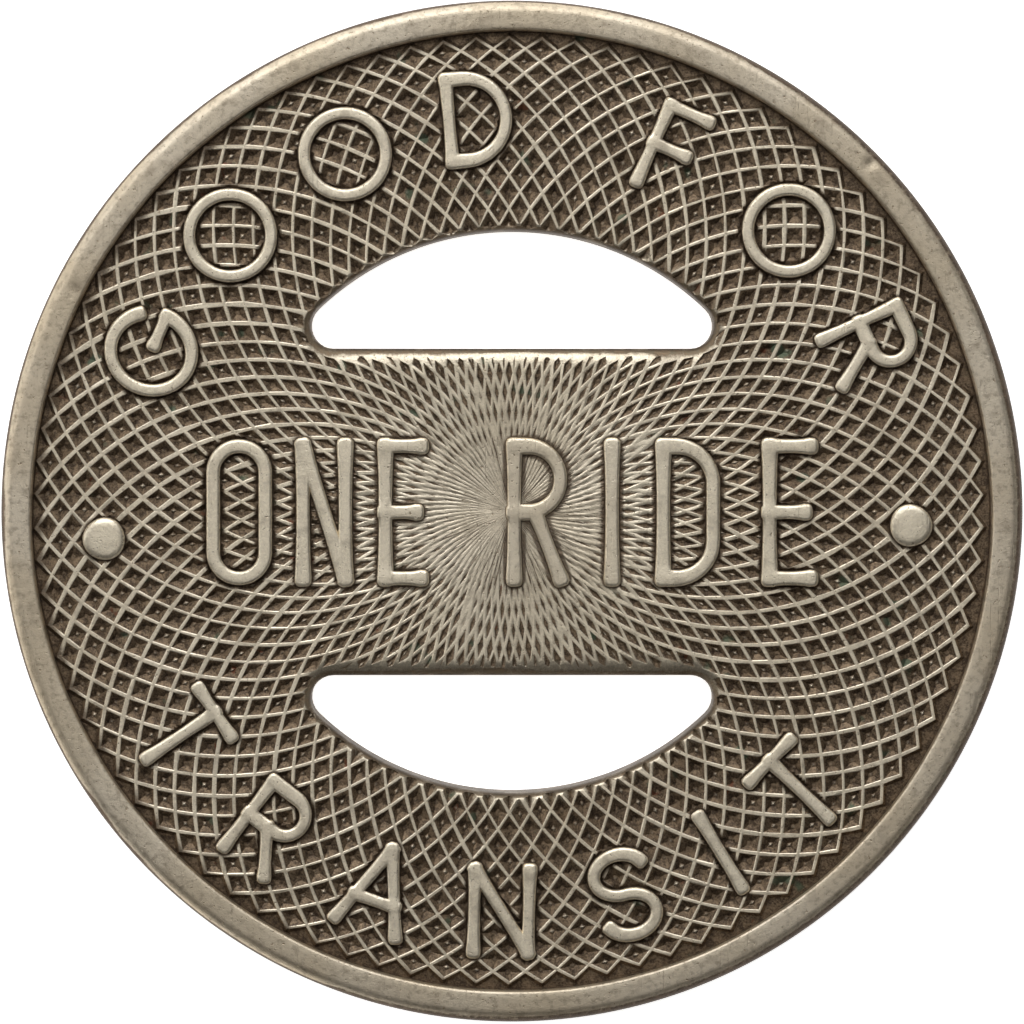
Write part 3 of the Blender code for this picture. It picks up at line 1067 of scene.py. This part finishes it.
def metal_colour(n, surface, polish):
    """Bare metal: warmer in places, brighter where polished, toned in patches, specked."""
    metal = n.mix(n.remap(surface.cloud, 0.3, 0.7), METAL, METAL_WARM)
    bright = n.remap(surface.grain, 0.40, 0.72, 0.75, 1.25)
    bright = n.times(bright, n.remap(surface.reach, 0.0, 4 * MM, 0.3, 1.0))
    metal = n.mix(n.times(bright, polish), metal, METAL_BRIGHT)
    fine_tone = n.remap(surface.mottle, 0.46, 0.70, 0.0, 0.60 - polish * 0.5)
    metal = n.mix(fine_tone, metal, TONED)
    metal = n.mix(n.remap(surface.blotch, 0.52, 0.74, 0.0, 0.40), metal, TONED)
    return n.mix(n.times(surface.specks, 0.75), metal, PATINA)


def surface_bumps(n, surface, worn):
    """Heights of the fine roughness, which is coarser in the dirt, with pits and scratches."""
    rough = n.times(surface.grain, n.remap(worn, 0.0, 0.6, 2.2, 0.9))
    bumps = n.plus(rough, n.times(surface.blotch, 1.2))
    pits = n.times(surface.specks, -0.9)
    scratches = n.times(scratch_mask(n, surface.place), -0.6)
    return n.plus(bumps, n.plus(pits, scratches))


def nickel_silver(name, heights, sides, polish, roughness, tarnish_and_shade=None, cut_share=0.0):
    """Struck nickel silver: bright where it is worn and on painted highlights, brown where it is
    sheltered and where shade is painted.

    The metal is fully tarnished below the first of heights and fully worn above the second,
    both measured from the token's middle. sides is the colour of upright sides, how far from
    the axis they start, and the upward parts of the normal between which they take over.
    polish brightens the worn metal and roughness is its roughness. tarnish makes a mask of
    extra dirt and painted shade. cut_share is how clean the punched parts are.
    """
    material = bpy.data.materials.new(name)
    n = Nodes(material)
    surface = Surface(n)
    side_colour, side_from, side_start, side_full = sides
    side = side_share(n, surface, side_from, side_start, side_full)
    # A mask of extra dirt and painted shade.
    extra = tarnish_and_shade(n, surface) if tarnish_and_shade else 0.0
    worn = wear_and_glint_share(n, surface, heights, side, extra, cut_share)
    dirt = dirt_colour(n, surface, side, side_colour, extra)
    bumps = surface_bumps(n, surface, worn)
    bump = n.make("ShaderNodeBump", {"Strength": 0.6, "Distance": 0.012 * MM, "Height": bumps})
    gloss = n.remap(worn, 0.0, 1.0, DIRT_ROUGHNESS, roughness, smooth=False)
    patchy = n.times(n.minus(surface.blotch, 0.5), 0.16)
    inputs = {
        "Base Color": n.mix(worn, dirt, metal_colour(n, surface, polish)),
        "Metallic": n.remap(worn, 0.0, 0.55, DIRT_METALLIC, 1.0),
        "Roughness": n.plus(gloss, patchy),
        "Normal": bump.outputs[0],
    }
    shader = n.make("ShaderNodeBsdfPrincipled", inputs)
    n.make("ShaderNodeOutputMaterial", {"Surface": shader.outputs[0]})
    return material


def ray_mask(n, surface):
    """Dark rays round the token's middle, which fade out where the pits open up: dirt in the narrow
    pits, and painted shade that stands in for their shallow relief.
    """
    outward = n.make("ShaderNodeVectorMath", {0: surface.across}, operation="NORMALIZE").outputs[0]
    rays = n.remap(n.noise(outward, 0.035, 2, 0.6), 0.54, 0.62)
    fade = n.remap(surface.reach, 1.2 * MM, 2.4 * MM, 0.62, 0.0)
    return n.times(rays, fade)


def edge_mask(n, surface):
    """Brown tarnishing along the outer edge of the rim, except at its upper left. Towards the bottom
    the darkening is painted shade as well.
    """
    streaks = n.remap(n.noise(surface.place, 0.14 * MM, 2, 0.6), 0.34, 0.56, 0.35, 1.0)
    fade = n.remap(surface.reach, RADIUS - 0.34 * MM, RADIUS - 0.06 * MM, 0.0, 0.55)
    band = n.remap(surface.reach, RADIUS - 0.17 * MM, RADIUS - 0.09 * MM, 0.0, 0.6)
    band = n.times(streaks, band)
    # The mask grows towards the lower right: tarnishing at the right, painted shade towards the
    # bottom.
    lean = n.minus(surface.x, n.times(surface.y, 0.35))
    lower_right = n.remap(lean, -0.25 * RADIUS, 0.5 * RADIUS, 0.12, 1.0)
    return n.times(n.plus(fade, band), lower_right)


def scratch_mask(n, place):
    """Fine hairlines in several directions, 1 on a scratch."""
    mask = 0.0
    stretch = (1.0, SCRATCH_STRETCH, 1.0)
    for degrees, size in SCRATCHES:
        turn = (0, 0, math.radians(degrees))
        inputs = {"Vector": place, "Rotation": turn, "Scale": stretch}
        turned = n.make("ShaderNodeMapping", inputs).outputs[0]
        lines = n.remap(n.noise(turned, size * MM, 1, 0.3), 0.735, 0.775)
        mask = n.maths("MAXIMUM", mask, lines)
    return mask


# Stage

# Radius and height of the floor, outwards from its middle
FLOOR_SECTION = [
    (0.10, 0.0), (0.36, 0.0), (0.46, 0.004),
    (0.54, 0.020), (0.58, 0.045), (0.60, 0.08),
]
FLOOR_SEGMENTS = 96
FLOOR_DROP = 0.02 * MM  # keeps the floor clear of the token's underside
FRAME_FILL = 0.9970703  # how much of the picture's width the token takes up
CAMERA_LEAN = (-0.2 * MM, 2.2 * MM, 0)  # how far the camera stands off the token's axis


def floor_material():
    """Nearly white and faintly lit from within, so that the floor shows no grey."""
    material = bpy.data.materials.new("pale_floor")
    n = Nodes(material)
    inputs = {
        "Base Color": (0.90, 0.90, 0.895, 1),
        "Roughness": 0.9,
        "Emission Color": (1.0, 0.995, 0.98, 1),
        "Emission Strength": 0.93,
    }
    shader = n.make("ShaderNodeBsdfPrincipled", inputs)
    n.make("ShaderNodeOutputMaterial", {"Surface": shader.outputs[0]})
    return material


def backdrop():
    """A pale floor that curves up into a wall all round."""
    vertices = [(0, 0, 0)]
    for radius, height in FLOOR_SECTION:
        vertices += ring_points(FLOOR_SEGMENTS, height, lambda turn: radius)
    spokes = range(1, FLOOR_SEGMENTS + 1)
    faces = [(0, index, index % FLOOR_SEGMENTS + 1) for index in spokes]
    faces += wall_faces([spokes[::-1]], len(FLOOR_SECTION), FLOOR_SEGMENTS)
    floor = new_object("floor", vertices, faces)
    floor.location.z = -FLOOR_DROP
    floor.data.shade_smooth()
    floor.data.materials.append(floor_material())
    return floor


def area_light(name, place, size, power, colour=(1, 1, 1)):
    data = bpy.data.lights.new(name, "AREA")
    data.shape = "RECTANGLE"
    data.size, data.size_y = size
    data.energy = power
    data.color = colour
    light = add_object(name, data)
    light.location = place
    light.rotation_mode = "QUATERNION"
    light.rotation_quaternion = (-Vector(place)).to_track_quat("-Z", "Y")


def light_stage():
    area_light("overhead_panel", (0.0, 0.02, 0.40), (0.24, 0.24), 0.140)
    area_light("key_panel", (-0.05, 0.32, 0.28), (0.50, 0.34), 1.80, (0.92, 0.95, 1.0))
    area_light("left_panel", (-0.32, 0.04, 0.20), (0.20, 0.14), 0.20)
    world = bpy.data.worlds.new("studio")
    world.use_nodes = True
    background = world.node_tree.nodes["Background"]
    background.inputs["Color"].default_value = (1.0, 0.99, 0.97, 1)
    background.inputs["Strength"].default_value = 0.03
    bpy.context.scene.world = world


def camera():
    """Looks straight down, from a little above the token's middle in the picture."""
    data = bpy.data.cameras.new("camera")
    data.lens = 170
    data.sensor_width = 36
    data.clip_start = 0.01
    data.clip_end = 5
    view_width = 2 * RADIUS / FRAME_FILL
    distance = view_width * data.lens / data.sensor_width
    aim = Vector((0, 0, TOP - 0.4 * MM))
    obj = add_object("camera", data)
    obj.location = aim + Vector((0, 0, distance)) + Vector(CAMERA_LEAN)
    backwards = (obj.location - aim).normalized()
    rightwards = Vector((0, 1, 0)).cross(backwards).normalized()
    axes = Matrix((rightwards, backwards.cross(rightwards), backwards)).transposed()
    obj.rotation_euler = axes.to_euler()
    bpy.context.scene.camera = obj


# Assembly


def other_side(obj, name):
    """The same relief for the reverse: the token turned over about its bar."""
    mesh = obj.data.copy()
    mesh.transform(Matrix.Translation((0, 0, TOP)) @ Matrix.Rotation(math.pi, 4, "X"))
    return add_object(name, mesh)


def finish_piece(obj, material, sharp):
    obj.data.materials.clear()
    obj.data.materials.append(material)
    obj.data.shade_smooth()
    obj.data.set_sharp_from_angle(angle=math.radians(sharp))
    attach(obj, "root")
    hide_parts("struck_token")


def token_metals():
    """The metal of the field, of the letters and pellets, and of the rim."""
    lines = FIELD - MIDDLE  # height of the engine-turned lines above the token's middle
    field = nickel_silver(
        "worn_engine_turning",
        (lines - 0.015 * MM, lines - 0.002 * MM),
        (CUT_WALL, 0.0, 0.97, 0.80),
        polish=0.65,
        roughness=0.42,
        # dark rays near the middle: dirt and painted shade
        tarnish_and_shade=ray_mask,
        cut_share=0.70,
    )
    relief = nickel_silver(
        "worn_relief",
        (lines - 0.01 * MM, lines + 0.05 * MM),
        (PATINA_DARK, 0.0, 0.55, 0.3),
        polish=0.85,
        roughness=0.42,
    )
    rim = nickel_silver(
        "worn_rim",
        (lines - 0.02 * MM, lines + 0.05 * MM),
        (EDGE_BROWN, RADIUS - 0.3 * MM, 0.76, 0.46),
        polish=0.05,
        roughness=0.49,
        # brown edge, with painted shade towards the bottom
        tarnish_and_shade=edge_mask,
    )
    return field, relief, rim


def build_token():
    """Makes all the pieces; beside each is the angle from which an edge shows as sharp."""
    field_metal, relief_metal, rim_metal = token_metals()
    field = field_plate("obverse_field")
    cutters = [piercing_cutter("upper_cutter", 1), piercing_cutter("lower_cutter", -1)]
    boolean(field, cutters, "DIFFERENCE", "MANIFOLD")
    pieces = [(field, field_metal, 25)]
    for name, (letters, stroke) in LEGENDS.items():
        pieces.append((legend_object(f"obverse_{name}", letters, stroke), relief_metal, 50))
    pellets = [pellet_solid(f"pellet_{index}", spot) for index, spot in enumerate(PELLETS)]
    pieces.append((join_objects("obverse_pellets", pellets), relief_metal, 60))
    for obj, metal, sharp in list(pieces):
        pieces.append((other_side(obj, obj.name.replace("obverse", "reverse")), metal, sharp))
    pieces.append((rim_ring(), rim_metal, 60))
    for obj, metal, sharp in pieces:
        finish_piece(obj, metal, sharp)


build_token()
backdrop()
light_stage()
camera()
bpy.context.scene.view_settings.view_transform = "Standard"
